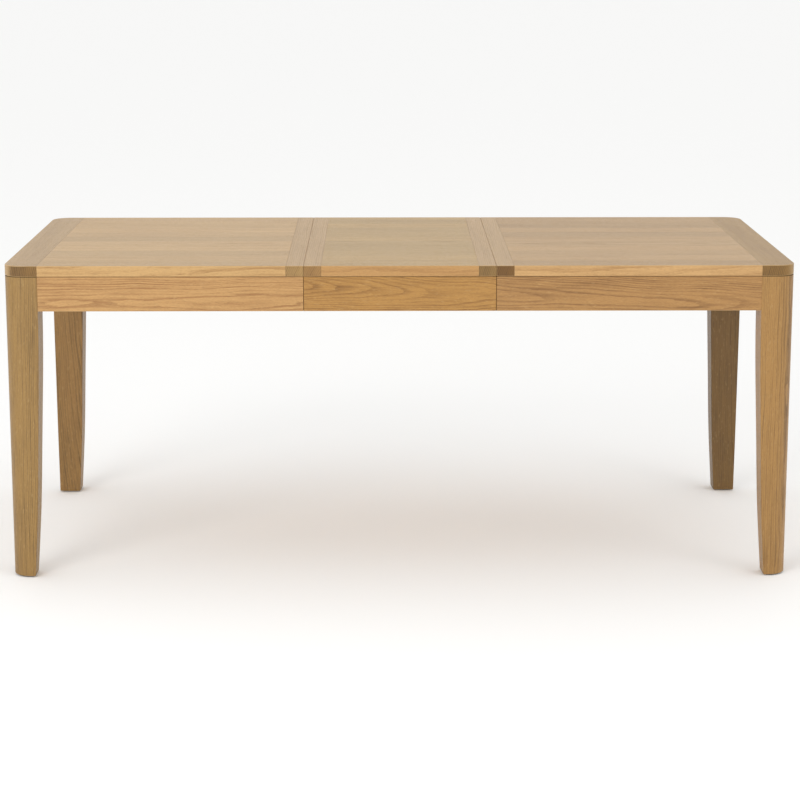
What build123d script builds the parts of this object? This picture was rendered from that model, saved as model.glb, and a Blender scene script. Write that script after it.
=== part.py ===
from build123d import *
import math
import os

# Extendable dining table in oak, opened out, with its loose leaf fitted between two half tops.
# Each half carries two legs. The halves slide apart on three-member wooden runners under the top,
# and a pinion between two racks in each runner set keeps them moving equally.
#
# Frame: +X along the table, +Y from front to back, +Z up. Origin on the floor, under the middle.
# The right half (X > 0) is modelled, and the left half is the same half turned 180 degrees about Z.
# In both runner sets the right half's member is on the -Y side and the left half's on the +Y side.
# All sizes are in millimetres.

# ---- Top ----
half_length = 700.0
leaf_length = 450.0
table_depth = 900.0
table_height = 750.0
top_thickness = 25.0
corner_radius = 45.0
end_board_width = 80.0
clamp_width = 41.0
seam_gap = 0.6
top_arris = 1.5
seam_bevel = 0.9
joint_bevel = 0.45
tongue_thickness = 8.0
tongue_length = 12.0
tongue_stop = 30.0
tongue_clearance = 0.15

# ---- Legs ----
leg_size = 80.0
foot_size = 55.0
leg_arris = 2.0
foot_arris = 1.5
bolt_flat_setback = 26.0
# how far the inner faces have drawn in, as a share of the whole taper, at shares of the free height
taper_shape = ((0.22, 0.09), (0.48, 0.33), (0.77, 0.62))
glide_thickness = 3.0
glide_radius = 14.0

# ---- Rails under the top ----
rail_height = 82.0
rail_thickness = 22.0
rail_recess = 1.5
rail_arris = 1.5
shadow_gap_height = 1.6
shadow_gap_depth = 4.0
cross_rail_height = 70.0
cross_rail_gap = 27.0

# ---- Leg fixings ----
block_thickness = 24.0
block_gap = 5.0
block_height = 60.0
block_screw_setback = 20.0
block_screw_grip = 12.5
bolt_radius = 4.0
bolt_depth = 40.0
bolt_pitch = 30.0
bolt_hole_clearance = 0.5
bolt_tail = 5.0
nut_across_flats = 13.0
nut_thickness = 6.5
washer_radius = 9.0
washer_thickness = 1.6
washer_clearance = 0.4

# ---- Rack and pinion ----
gear_module = 2.0
pinion_teeth = 18
pinion_thickness = 7.0
pinion_bore_clearance = 0.05
pinion_pocket_clearance = 1.0
axle_radius = 3.0
axle_seat = 6.0
axle_foot = 10.0
pressure_angle = math.radians(20.0)
gear_backlash = 0.12
flank_points = 5
rack_height = 8.0
rack_body = 5.5
rack_spare_teeth = 2
rack_end_cover = 6.0

# ---- Runners ----
runner_set_inset = 200.0
runner_height = 45.0
centre_runner_length = 900.0
lane_width = 28.0
lane_gap = 1.0
lane_end_gap = 50.0
slide_clearance = 1.0
gear_rise = 9.0
dovetail_mouth = 10.0
dovetail_inner = 16.0
dovetail_depth = 8.0
dovetail_clearance = 0.35
open_travel = 30.0
stop_pin_radius = 3.0
stop_pin_inset = 50.0
stop_pin_reach = 5.0
stop_pin_seat = 8.0
stop_clearance = 0.2
stop_floor_clearance = 1.0
tie_width = 90.0
tie_thickness = 18.0
tie_screw_inset = 11.0
notch_clearance = 3.0
lane_screws = 5
lane_screw_inset = 60.0

# ---- Leaf ----
batten_width = 45.0
batten_thickness = 20.0
batten_inset = 75.0
batten_clearance = 2.0
batten_screw_inset = 54.0
leaf_pad_radius = 9.0
glue_block_size = 30.0
glue_block_length = 60.0
glue_block_inset = 34.0

# ---- Catches that draw the halves and the leaf together ----
catch_inset = 85.0
catch_setback = 21.0
catch_width = 18.0
catch_thickness = 3.0
catch_drop = 6.0
catch_slot = 8.6
catch_play = 0.2
catch_plate = 36.0
catch_plate_thickness = 2.0
catch_plate_corner = 4.0
catch_screw_inset = 6.0
pivot_radius = 4.0
pivot_clearance = 0.05
pivot_shoulder_radius = 7.0
pivot_head_thickness = 2.8
stud_radius = 3.0
stud_cap_radius = 5.5
stud_cap_thickness = 3.0
stud_cap_gap = 1.5
tab_length = 14.0
tab_depth = 14.0
tab_thickness = 3.0
tab_from_pivot = 26.0

# ---- Brackets and screws ----
bracket_width = 26.0
bracket_leg = 20.0
bracket_thickness = 2.0
bracket_screw_reach = 12.5
screw_radius = 2.0
screw_head_radius = 4.0
screw_head_height = 2.6
screw_well_clearance = 0.3
screw_in_wood = 12.0
catch_screw_length = 10.0
lane_screw_length = 30.0
recess_width = 1.1
recess_depth = 1.5

# ---- Worked out from the sizes above ----
underside = table_height - top_thickness
half_depth = table_depth / 2
seam_x = leaf_length / 2
half_start = seam_x + seam_gap / 2
leaf_end = seam_x - seam_gap / 2
table_end = seam_x + half_length
leg_inner = table_end - leg_size
end_joint = table_end - end_board_width
half_joint = half_start + clamp_width
leaf_joint = leaf_end - clamp_width

rail_bottom = underside - rail_height
rail_back = rail_recess + rail_thickness
cross_rail_x = half_start + tie_width / 2 + cross_rail_gap

flat_at = 2 * leg_size - bolt_flat_setback
block_from = flat_at + block_gap * math.sqrt(2)
block_to = block_from + block_thickness * math.sqrt(2)
block_middle = rail_bottom + rail_height / 2
bolt_levels = (block_middle - bolt_pitch / 2, block_middle + bolt_pitch / 2)

tooth_pitch = math.pi * gear_module
pitch_radius = gear_module * pinion_teeth / 2
tip_radius = pitch_radius + gear_module
root_radius = pitch_radius - 1.25 * gear_module
rack_tip = pitch_radius - gear_module
rack_root = pitch_radius + 1.25 * gear_module
rack_back = rack_root + rack_body
teeth_before = math.ceil(open_travel / tooth_pitch) + rack_spare_teeth
teeth_after = math.ceil(seam_x / tooth_pitch) + rack_spare_teeth

set_y = half_depth - runner_set_inset
runner_bottom = underside - runner_height
slide_top = underside - slide_clearance
slide_bottom = runner_bottom + slide_clearance
centre_face = rack_tip - lane_gap
lane_face = rack_tip
lane_back = lane_face + lane_width
lane_start = -teeth_before * tooth_pitch - rack_end_cover
lane_end = table_end - rail_back - lane_end_gap
gear_z = runner_bottom + gear_rise
dovetail_z = (gear_z + rack_height / 2 + slide_top) / 2
stop_pin_x = centre_runner_length / 2 - stop_pin_inset
lane_screw_y = -(rack_back + lane_back) / 2

catch_x = seam_x + catch_setback
stud_x = seam_x - catch_setback
catch_reach = catch_x - stud_x
catch_y = half_depth - catch_inset
catch_top = underside - catch_drop
catch_bottom = catch_top - catch_thickness
plate_face = underside - catch_plate_thickness


# ---- Plain shapes ----
def block(x0, x1, y0, y1, z0, z1):
    """A box between two corners."""
    centre = Pos((x0 + x1) / 2, (y0 + y1) / 2, (z0 + z1) / 2)
    return centre * Box(abs(x1 - x0), abs(y1 - y0), abs(z1 - z0))


def post(x, y, z0, z1, radius):
    """A cylinder standing between two heights."""
    return Pos(x, y, (z0 + z1) / 2) * Cylinder(radius, z1 - z0)


def along_x(points, x0, x1):
    """An outline of (y, z) points, carried along X from x0 to x1."""
    outline = make_face(Polyline(*[(0, y, z) for y, z in points], close=True).edges())
    return Pos(x0, 0, 0) * extrude(outline, x1 - x0, dir=(1, 0, 0))


def upwards(points, z0, z1):
    """An outline of (x, y) points, raised from z0 to z1."""
    outline = make_face(Polyline(*points, close=True).edges())
    return Pos(0, 0, z0) * extrude(outline, z1 - z0, dir=(0, 0, 1))


def half_turn(shape):
    """The left half's copy of a right-half piece."""
    return Rot(0, 0, 180) * shape


def group(shapes):
    """Separate solids of one kind, kept together as one node."""
    return Compound([solid for shape in shapes for solid in shape.solids()])


# ---- Screws ----
def screw_blank(length):
    """A countersunk wood screw without its recess: head flush at the origin, shank along -Z."""
    head = Pos(0, 0, -screw_head_height / 2) * Cone(screw_radius, screw_head_radius, screw_head_height)
    return head + post(0, 0, -length, -screw_head_height, screw_radius)


def screw(length):
    """A countersunk wood screw with a cross recess."""
    bar = Box(recess_width, screw_head_radius * 1.1, 2 * recess_depth)
    return screw_blank(length) - bar - Rot(0, 0, 90) * bar


def facing_down(x, y, z):
    """Where a screw goes in from below, its head flush with height z."""
    return Pos(x, y, z) * Rot(180, 0, 0)


def apart(first, second):
    """True where two bounding boxes don't meet."""
    first_low, first_high, second_low, second_high = first.min, first.max, second.min, second.max
    return any(
        getattr(first_low, axis) > getattr(second_high, axis)
        or getattr(second_low, axis) > getattr(first_high, axis)
        for axis in "XYZ"
    )


class Fixings:
    """The screws of one body: where each one is, and the hole that it needs."""

    def __init__(self):
        self.placed = []
        self.holes = []

    def add(self, place, length, well=0.0):
        """A screw, with a well of this depth above its head where it is set deep."""
        hole = screw_blank(length)
        if well > 0:
            hole = hole + post(0, 0, 0, well, screw_head_radius + screw_well_clearance)
        self.placed.append((place, length))
        self.holes.append(place * hole)

    def cut(self, piece):
        """The piece with the holes of those screws that reach it."""
        box = piece.bounding_box()
        for hole in self.holes:
            if not apart(hole.bounding_box(), box):
                piece = piece - hole
        return piece

    def screws(self):
        return group(place * screw(length) for place, length in self.placed)


# ---- Top pieces ----
def top_groove(x, width):
    """A cutter that eases the upper edges, front to back, of the two pieces that meet at plane x."""
    over = 1.0
    side = (width + over) * math.sqrt(2)
    return Pos(x, 0, table_height + over) * Rot(0, 45, 0) * Box(side, table_depth + 2 * over, side)


def face_groove(x, width, face_y, z0, z1):
    """The same easing down the front and back faces at plane x."""
    over = 1.0
    side = (width + over) * math.sqrt(2)
    prism = Rot(0, 0, 45) * Box(side, side, z1 - z0 + 2 * over)
    middle = (z0 + z1) / 2
    return Pos(x, -face_y - over, middle) * prism + Pos(x, face_y + over, middle) * prism


def eased(piece, x, width):
    """A top piece with its edges at plane x eased."""
    return piece - top_groove(x, width) - face_groove(x, width, half_depth, underside, table_height)


def tongue(x, grow=0.0):
    """A stopped tongue across plane x, or with some growth the groove that takes it."""
    middle = table_height - top_thickness / 2
    reach = tongue_length + grow
    rise = tongue_thickness / 2 + grow
    span = half_depth - tongue_stop + grow
    return block(x - reach, x + reach, -span, span, middle - rise, middle + rise)


def top_board(x0, x1):
    """A board the full depth of the table, with eased front and back edges."""
    board = block(x0, x1, -half_depth, half_depth, underside, table_height)
    return fillet(board.edges().filter_by(Axis.X), top_arris)


def field_panel(x0, x1):
    """Staves glued edge to edge, with a tongue at each end."""
    panel = eased(eased(top_board(x0, x1), x0, joint_bevel), x1, joint_bevel)
    return panel + tongue(x0) + tongue(x1)


def clamp_strip(joint_x, seam_side_x, bevel_x):
    """A narrow board across a panel's end: grooved at the joint, eased at the seam."""
    strip = top_board(min(joint_x, seam_side_x), max(joint_x, seam_side_x))
    strip = eased(eased(strip, joint_x, joint_bevel), bevel_x, seam_bevel + seam_gap / 2)
    return strip - tongue(joint_x, tongue_clearance)


def end_board():
    """The wide board at the table's end, with the two round corners."""
    board = block(end_joint, table_end, -half_depth, half_depth, underside, table_height)
    round_corners = [e for e in board.edges().filter_by(Axis.Z) if e.center().X > table_end - 1]
    board = fillet(round_corners, corner_radius)
    levels = (underside, table_height)
    rim = [
        e
        for e in board.edges()
        if e.center().X > end_joint + 1 and min(abs(e.center().Z - level) for level in levels) < 0.01
    ]
    board = eased(fillet(rim, top_arris), end_joint, joint_bevel)
    return board - tongue(end_joint, tongue_clearance)


# ---- Shadow line ----
def shadow_ring():
    """A cutter for the fine dark line between the top and what carries it."""
    z0 = underside - shadow_gap_height
    reach_x = table_end - shadow_gap_depth
    reach_y = half_depth - shadow_gap_depth
    outer = block(-table_end - 1, table_end + 1, -half_depth - 1, half_depth + 1, z0, underside + 1)
    inner = block(-reach_x, reach_x, -reach_y, reach_y, z0 - 1, underside + 2)
    return outer - fillet(inner.edges().filter_by(Axis.Z), corner_radius - shadow_gap_depth)


shadow = shadow_ring()


# ---- Legs, made at the origin with +X and +Y pointing inwards from the table's corner ----
front_corner = Pos(table_end, -half_depth, 0) * Rot(0, 0, 90)
back_corner = Pos(table_end, half_depth, 0) * Rot(0, 0, 180)
corners = (front_corner, back_corner)


def leg_outline():
    """The leg seen square on, (x, z): a straight outer side, and an inner side drawn in to the foot."""
    taper = leg_size - foot_size
    free = rail_bottom - glide_thickness
    curve = [(leg_size, rail_bottom)]
    curve += [(leg_size - taper * drawn, rail_bottom - free * down) for down, drawn in taper_shape]
    curve += [(foot_size, glide_thickness)]
    straight = Polyline(
        (foot_size, glide_thickness),
        (0, glide_thickness),
        (0, underside),
        (leg_size, underside),
        (leg_size, rail_bottom),
    )
    last_down, last_drawn = taper_shape[-1]
    foot_slope = (1 - last_drawn) * taper / ((1 - last_down) * free)
    inner = Spline(*curve, tangents=((0, -1), (-foot_slope, -1)))
    return make_face(straight.edges() + inner.edges())


def leg_blank():
    """The shaped leg before it is fitted: one outline in X and the same in Y."""
    seen_along_y = extrude(Plane.XZ * leg_outline(), -leg_size)
    seen_along_x = extrude(Plane.YZ * leg_outline(), leg_size)
    leg = seen_along_y & seen_along_x
    outer = [e for e in leg.edges() if e.length > 2 * leg_size and max(e.center().X, e.center().Y) < 1]
    leg = fillet(outer, corner_radius)
    inner_edges = [
        e
        for e in leg.edges()
        if e.bounding_box().size.Z > 0.5 * rail_height and max(e.center().X, e.center().Y) > foot_size - 1
    ]
    leg = fillet(inner_edges, leg_arris)
    return fillet(leg.faces().sort_by(Axis.Z)[0].edges(), foot_arris)


def on_diagonal(offset, z):
    """A place on the leg's diagonal where x + y is offset, facing inwards along it."""
    return Plane(origin=(offset / 2, offset / 2, z), x_dir=(0, 0, 1), z_dir=(1, 1, 0)).location


def corner_bolt(z):
    """A hanger bolt, from inside the leg to its tail past the nut."""
    start = flat_at - bolt_depth * math.sqrt(2)
    length = (block_to - start) / math.sqrt(2) + washer_thickness + nut_thickness + bolt_tail
    return on_diagonal(start, z) * post(0, 0, 0, length, bolt_radius)


def corner_washer(z):
    ring = post(0, 0, 0, washer_thickness, washer_radius)
    return on_diagonal(block_to, z) * (ring - post(0, 0, -1, washer_thickness + 1, bolt_radius + washer_clearance))


def corner_nut(z):
    hexagon = extrude(RegularPolygon(nut_across_flats / 2, 6, major_radius=False), nut_thickness)
    nut = hexagon - post(0, 0, -1, nut_thickness + 1, bolt_radius)
    return on_diagonal(block_to, z) * Pos(0, 0, washer_thickness) * nut


def corner_leg():
    """The leg with the flat and the bolt holes that its corner block needs."""
    far = 4 * leg_size
    waste = upwards([(flat_at, 0), (far, 0), (far, far), (0, far), (0, flat_at)], rail_bottom, underside + 1)
    leg = leg_blank() - waste
    for z in bolt_levels:
        leg = leg - corner_bolt(z)
    return leg


def corner_block():
    """The block across the corner that the bolts pull against, glued and screwed to both rails."""
    z0 = block_middle - block_height / 2
    outline = [
        (block_from - rail_back, rail_back),
        (block_to - rail_back, rail_back),
        (rail_back, block_to - rail_back),
        (rail_back, block_from - rail_back),
    ]
    piece = upwards(outline, z0, z0 + block_height)
    for z in bolt_levels:
        through = Cylinder(bolt_radius + bolt_hole_clearance, 4 * block_thickness)
        piece = piece - on_diagonal(block_from, z) * through
    return piece


def block_screw_places():
    """Two screws square into each rail, their heads set deep in the block's sloping face."""
    along = block_to - rail_back - block_screw_setback
    head = rail_back + block_screw_grip
    levels = (block_middle - 0.3 * block_height, block_middle + 0.3 * block_height)
    places = [Pos(along, head, z) * Rot(-90, 0, 0) for z in levels]
    return places + [Pos(head, along, z) * Rot(0, 90, 0) for z in levels]


# ---- Rails ----
def long_rail(x0, x1, side):
    """A rail along the front (side -1) or the back (side 1), eased below and at the seams."""
    face = half_depth - rail_recess
    rail = block(x0, x1, side * face, side * (half_depth - rail_back), rail_bottom, underside)
    lower = [e for e in rail.edges().filter_by(Axis.X) if e.center().Z < rail_bottom + 1]
    rail = fillet(lower, rail_arris) - shadow
    for x in (-seam_x, seam_x):
        rail = rail - face_groove(x, seam_bevel + seam_gap / 2, face, rail_bottom, underside)
    return rail


def end_rail():
    reach = half_depth - leg_size
    rail = block(table_end - rail_back, table_end - rail_recess, -reach, reach, rail_bottom, underside)
    lower = [e for e in rail.edges().filter_by(Axis.Y) if e.center().Z < rail_bottom + 1]
    return fillet(lower, rail_arris) - shadow


def cross_rail():
    """The inner rail that ties front to back, notched over the runner sets."""
    reach = half_depth - rail_back
    x0 = cross_rail_x
    x1 = cross_rail_x + rail_thickness
    rail = block(x0, x1, -reach, reach, underside - cross_rail_height, underside)
    half = lane_back + notch_clearance
    for y in (-set_y, set_y):
        notch = block(x0 - 1, x1 + 1, y - half, y + half, runner_bottom - notch_clearance, underside + 1)
        rail = rail - notch
    return rail


# ---- Runners, made with a set's middle at the origin: the right half's member is on the -Y side ----
def dovetail(clearance, y0, y1, x0, x1):
    """A dovetail bar on the -Y side, widening inwards, between two distances from the middle."""
    flare = (dovetail_inner - dovetail_mouth) / 2 / dovetail_depth
    half0 = dovetail_mouth / 2 + flare * (centre_face - y0) - clearance
    half1 = dovetail_mouth / 2 + flare * (centre_face - y1) - clearance
    outline = [
        (-y0, dovetail_z - half0),
        (-y0, dovetail_z + half0),
        (-y1, dovetail_z + half1),
        (-y1, dovetail_z - half1),
    ]
    return along_x(outline, x0, x1)


def stop_slot():
    """The slot that a stop pin runs in, from closed to fully open."""
    half = stop_pin_radius + stop_clearance
    depth = stop_pin_reach - lane_gap + stop_floor_clearance
    x0 = stop_pin_x - seam_x - half
    x1 = stop_pin_x + open_travel + half
    return block(x0, x1, -centre_face - 1, -centre_face + depth, gear_z - half, gear_z + half)


def axle():
    """The pin that a pinion turns on, through the tie and up into the centre runner."""
    return post(0, 0, runner_bottom - axle_foot, gear_z + pinion_thickness / 2 + axle_seat, axle_radius)


def centre_runner():
    """The middle member, grooved, slotted and pocketed alike on both sides."""
    half = centre_runner_length / 2
    runner = block(-half, half, -centre_face, centre_face, runner_bottom, slide_top)
    groove = dovetail(0, centre_face + 1, centre_face - dovetail_depth, -half - 1, half + 1)
    for turn in (0, 180):
        runner = runner - Rot(0, 0, turn) * groove - Rot(0, 0, turn) * stop_slot()
    reach = tip_radius + pinion_pocket_clearance
    rise = pinion_thickness / 2 + pinion_pocket_clearance
    pocket = block(-reach, reach, -centre_face - 1, centre_face + 1, gear_z - rise, gear_z + rise)
    return runner - pocket - axle()


def involute(angle):
    return math.tan(angle) - angle


def pinion():
    """A spur gear of involute teeth, one tooth pointing square at each rack."""
    base_radius = pitch_radius * math.cos(pressure_angle)
    half_tooth = math.pi / (2 * pinion_teeth) - gear_backlash / pitch_radius + involute(pressure_angle)
    steps = [base_radius + (tip_radius - base_radius) * k / (flank_points - 1) for k in range(flank_points)]
    flank = [(r, half_tooth - involute(math.acos(min(1.0, base_radius / r)))) for r in steps]
    flank = [(root_radius, half_tooth)] + flank
    outline = []
    for tooth in range(pinion_teeth):
        middle = math.pi / 2 + 2 * math.pi * tooth / pinion_teeth
        sides = [(r, middle - half) for r, half in flank] + [(r, middle + half) for r, half in reversed(flank)]
        outline += [(r * math.cos(angle), r * math.sin(angle)) for r, angle in sides]
    z0 = gear_z - pinion_thickness / 2
    gear = upwards(outline, z0, z0 + pinion_thickness)
    return gear - post(0, 0, z0 - 1, z0 + pinion_thickness + 1, axle_radius + pinion_bore_clearance)


def rack():
    """The right half's rack: straight-sided teeth towards the pinion, a gap facing its middle."""
    lean = math.tan(pressure_angle)
    at_pitch = tooth_pitch / 4 - gear_backlash / 2
    at_tip = at_pitch - gear_module * lean
    at_root = at_pitch + 1.25 * gear_module * lean
    outline = [(-teeth_before * tooth_pitch, -rack_back), (-teeth_before * tooth_pitch, -rack_root)]
    for tooth in range(-teeth_before, teeth_after):
        middle = (tooth + 0.5) * tooth_pitch
        outline += [(middle - at_root, -rack_root), (middle - at_tip, -rack_tip)]
        outline += [(middle + at_tip, -rack_tip), (middle + at_root, -rack_root)]
    outline += [(teeth_after * tooth_pitch, -rack_root), (teeth_after * tooth_pitch, -rack_back)]
    return upwards(outline, gear_z - rack_height / 2, gear_z + rack_height / 2)


def stop_pin():
    """A steel pin in a member's inner face, which meets the end of its slot at full travel."""
    length = stop_pin_reach + stop_pin_seat
    middle = lane_face - stop_pin_reach + length / 2
    return Pos(stop_pin_x, -middle, gear_z) * Rot(90, 0, 0) * Cylinder(stop_pin_radius, length)


def lane():
    """The right half's member, with its dovetail, its let-in rack and its stop pin's hole."""
    member = block(lane_start, lane_end, -lane_back, -lane_face, slide_bottom, underside)
    member = member - block(lane_start - 1, half_start, -lane_back - 1, 0, slide_top, underside + 1)
    tip = centre_face - dovetail_depth + dovetail_clearance
    member = member + dovetail(dovetail_clearance, lane_face, tip, lane_start, lane_end)
    x0 = -teeth_before * tooth_pitch
    x1 = teeth_after * tooth_pitch
    rise = rack_height / 2
    member = member - block(x0, x1, -rack_back, 1 - lane_face, gear_z - rise, gear_z + rise)
    return member - stop_pin()


def centre_tie():
    """The board that joins the two centre runners into one frame."""
    reach = set_y + centre_face
    half = tie_width / 2
    tie = block(-half, half, -reach, reach, runner_bottom - tie_thickness, runner_bottom)
    return tie - Pos(0, -set_y, 0) * axle() - Pos(0, set_y, 0) * axle()


# ---- Brackets that hold the top to its rails ----
def bracket():
    """A steel angle: one leg flat under the top, one down a rail's inner face, the room at +Y."""
    half = bracket_width / 2
    flat = block(-half, half, 0, bracket_leg, -bracket_thickness, 0)
    return flat + block(-half, half, 0, bracket_thickness, -bracket_leg, 0)


def bracket_places():
    """Two brackets on each long rail and one on the end rail."""
    y = half_depth - rail_back
    bay = (leg_inner - half_start) / 4
    spots = [half_start + 2 * bay, half_start + 3 * bay]
    places = [Pos(x, -y, underside) for x in spots]
    places += [Pos(x, y, underside) * Rot(0, 0, 180) for x in spots]
    return places + [Pos(table_end - rail_back, 0, underside) * Rot(0, 0, 90)]


# ---- Catches ----
def catch_mount(y):
    """A plate under the half top, with the shouldered pivot that its lever turns on."""
    half = catch_plate / 2
    plate = block(catch_x - half, catch_x + half, y - half, y + half, plate_face, underside)
    plate = fillet(plate.edges().filter_by(Axis.Z), catch_plate_corner)
    head_top = catch_bottom - catch_play
    head = post(catch_x, y, head_top - pivot_head_thickness, head_top, pivot_shoulder_radius)
    shank = post(catch_x, y, head_top, catch_top + catch_play, pivot_radius)
    shoulder = post(catch_x, y, catch_top + catch_play, plate_face, pivot_shoulder_radius)
    return plate + head + shank + shoulder


def catch_lever():
    """A lever about the origin, as it lies when locked: it points along -X and hooks from -Y."""
    half = catch_width / 2
    low = catch_bottom - 1
    high = catch_top + 1
    lever = block(-catch_reach, 0, -half, half, catch_bottom, catch_top)
    for x in (0, -catch_reach):
        lever = lever + post(x, 0, catch_bottom, catch_top, half)
    tab_x = -tab_from_pivot
    tab = block(tab_x, tab_x + tab_length, half - tab_thickness, half, catch_bottom - tab_depth, catch_top)
    ends = [e for e in tab.edges().filter_by(Axis.Y) if e.center().Z < catch_bottom]
    lever = lever + fillet(ends, tab_thickness)
    mouth = block(-catch_reach - catch_slot / 2, -catch_reach + catch_slot / 2, -half - 1, 0, low, high)
    lever = lever - mouth - post(-catch_reach, 0, low, high, catch_slot / 2)
    return lever - post(0, 0, low, high, pivot_radius + pivot_clearance)


def keeper(x, y):
    """A plate under the leaf, and the stud and cap riveted to it, which a lever hooks round."""
    half = catch_plate / 2
    plate = block(x - half, x + half, y - half, y + half, plate_face, underside)
    plate = fillet(plate.edges().filter_by(Axis.Z), catch_plate_corner)
    cap_top = catch_bottom - stud_cap_gap
    stud = post(x, y, cap_top, plate_face, stud_radius)
    cap = post(x, y, cap_top - stud_cap_thickness, cap_top, stud_cap_radius)
    return group([plate, stud, cap])


def plate_screw_spots(x, y):
    """The four corners of a catch plate."""
    reach = catch_plate / 2 - catch_screw_inset
    return [(x + dx * reach, y + dy * reach) for dx in (-1, 1) for dy in (-1, 1)]


# ---- The right half: where its screws go, then its pieces ----
front_set = Pos(0, -set_y, 0)
back_set = Pos(0, set_y, 0)
right_fixings = Fixings()

for place in bracket_places():
    into_top = facing_down(0, bracket_screw_reach, -bracket_thickness)
    into_rail = Pos(0, bracket_thickness, -bracket_screw_reach) * Rot(-90, 0, 0)
    for way in (into_top, into_rail):
        right_fixings.add(place * way, bracket_thickness + screw_in_wood)

lane_screw_step = (lane_end - half_start - 2 * lane_screw_inset) / (lane_screws - 1)
lane_screw_z = underside + screw_in_wood - lane_screw_length
for runner_place in (front_set, back_set):
    for k in range(lane_screws):
        x = half_start + lane_screw_inset + k * lane_screw_step
        well = lane_screw_z - slide_bottom + 1
        right_fixings.add(runner_place * facing_down(x, lane_screw_y, lane_screw_z), lane_screw_length, well)

for y in (-catch_y, catch_y):
    for spot_x, spot_y in plate_screw_spots(catch_x, y):
        right_fixings.add(facing_down(spot_x, spot_y, plate_face), catch_screw_length)

for corner in corners:
    for place in block_screw_places():
        right_fixings.add(corner * place, block_screw_grip + screw_in_wood, block_screw_setback)

fastened = {
    "end_board": end_board(),
    "field_panel": field_panel(half_joint, end_joint),
    "clamp_strip": clamp_strip(half_joint, half_start, seam_x),
    "front_apron": long_rail(half_start, leg_inner, -1),
    "rear_apron": long_rail(half_start, leg_inner, 1),
    "end_apron": end_rail(),
    "cross_rail": cross_rail(),
    "corner_blocks": group(corner * corner_block() for corner in corners),
    "runner_front": front_set * lane(),
    "runner_rear": back_set * lane(),
    "top_brackets": group(place * bracket() for place in bracket_places()),
    "catch_mounts": group([catch_mount(-catch_y), catch_mount(catch_y)]),
}
right = {name: right_fixings.cut(shape) for name, shape in fastened.items()}

right["front_leg"] = front_corner * corner_leg() - shadow
right["rear_leg"] = back_corner * corner_leg() - shadow
bolt_pieces = [make(z) for z in bolt_levels for make in (corner_bolt, corner_washer, corner_nut)]
right["leg_bolts"] = group(corner * piece for corner in corners for piece in bolt_pieces)
glide = post(foot_size / 2, foot_size / 2, 0, glide_thickness, glide_radius)
right["foot_glides"] = group(corner * glide for corner in corners)
right["racks"] = group([front_set * rack(), back_set * rack()])
right["stop_pins"] = group([front_set * stop_pin(), back_set * stop_pin()])
right["screws"] = right_fixings.screws()
right["front_catch"] = Pos(catch_x, -catch_y, 0) * Rot(0, 0, -90) * catch_lever()
right["rear_catch"] = Pos(catch_x, catch_y, 0) * Rot(0, 0, 90) * mirror(catch_lever(), Plane.XZ)

# ---- The leaf ----
batten_x = seam_x - batten_inset
batten_reach = set_y - lane_back - batten_clearance
batten_z = underside - batten_thickness
batten_screw_y = batten_reach - batten_screw_inset
glue_block_x = leaf_joint - glue_block_inset
leaf_fixings = Fixings()
for x in (-batten_x, batten_x):
    for y in (-batten_screw_y, 0, batten_screw_y):
        leaf_fixings.add(facing_down(x, y, batten_z), batten_thickness + screw_in_wood)
for x in (-stud_x, stud_x):
    for y in (-catch_y, catch_y):
        for spot_x, spot_y in plate_screw_spots(x, y):
            leaf_fixings.add(facing_down(spot_x, spot_y, plate_face), catch_screw_length)


def batten(x):
    """A cleat across the leaf's staves, between the two runner sets."""
    half = batten_width / 2
    return block(x - half, x + half, -batten_reach, batten_reach, batten_z, underside)


def glue_block(x, side):
    """A block in the angle between the leaf and one of its skirts."""
    half = glue_block_length / 2
    back = half_depth - rail_back
    y0 = side * back
    y1 = side * (back - glue_block_size)
    return block(x - half, x + half, y0, y1, underside - glue_block_size, underside)


fastened = {
    "leaf_field_panel": field_panel(-leaf_joint, leaf_joint),
    "leaf_left_clamp": clamp_strip(-leaf_joint, -leaf_end, -seam_x),
    "leaf_right_clamp": clamp_strip(leaf_joint, leaf_end, seam_x),
    "leaf_battens": group(batten(x) for x in (-batten_x, batten_x)),
    "leaf_catch_keepers": group(keeper(x, y) for x in (-stud_x, stud_x) for y in (-catch_y, catch_y)),
}
leaf = {name: leaf_fixings.cut(shape) for name, shape in fastened.items()}
leaf["leaf_front_skirt"] = long_rail(-leaf_end, leaf_end, -1)
leaf["leaf_rear_skirt"] = long_rail(-leaf_end, leaf_end, 1)
leaf["leaf_glue_blocks"] = group(
    glue_block(x, side) for x in (-glue_block_x, 0, glue_block_x) for side in (-1, 1)
)
leaf["leaf_pads"] = group(
    post(x, y, slide_top, underside, leaf_pad_radius) for x in (-batten_x, batten_x) for y in (-set_y, set_y)
)
leaf["leaf_screws"] = leaf_fixings.screws()

# ---- The centre frame that both halves slide on ----
tie_fixings = Fixings()
tie_screw_x = tie_width / 2 - tie_screw_inset
for x in (-tie_screw_x, tie_screw_x):
    for y in (-set_y, set_y):
        tie_fixings.add(facing_down(x, y, runner_bottom - tie_thickness), tie_thickness + screw_in_wood)

middle = {
    "centre_runner_front": tie_fixings.cut(front_set * centre_runner()),
    "centre_runner_rear": tie_fixings.cut(back_set * centre_runner()),
    "centre_tie": tie_fixings.cut(centre_tie()),
    "centre_tie_screws": tie_fixings.screws(),
    "pinion_axles": group([front_set * axle(), back_set * axle()]),
    "pinion_front": front_set * pinion(),
    "pinion_rear": back_set * pinion(),
}

# ---- Every node, and its file ----
swap = {"front": "rear", "rear": "front"}
nodes = dict(middle)
nodes.update(leaf)
for name, shape in right.items():
    nodes["right_" + name] = shape
    nodes["left_" + "_".join(swap.get(word, word) for word in name.split("_"))] = half_turn(shape)

os.makedirs("parts", exist_ok=True)
for name, shape in nodes.items():
    export_step(shape, os.path.join("parts", name + ".step"))
print(len(nodes), "nodes")
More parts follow.
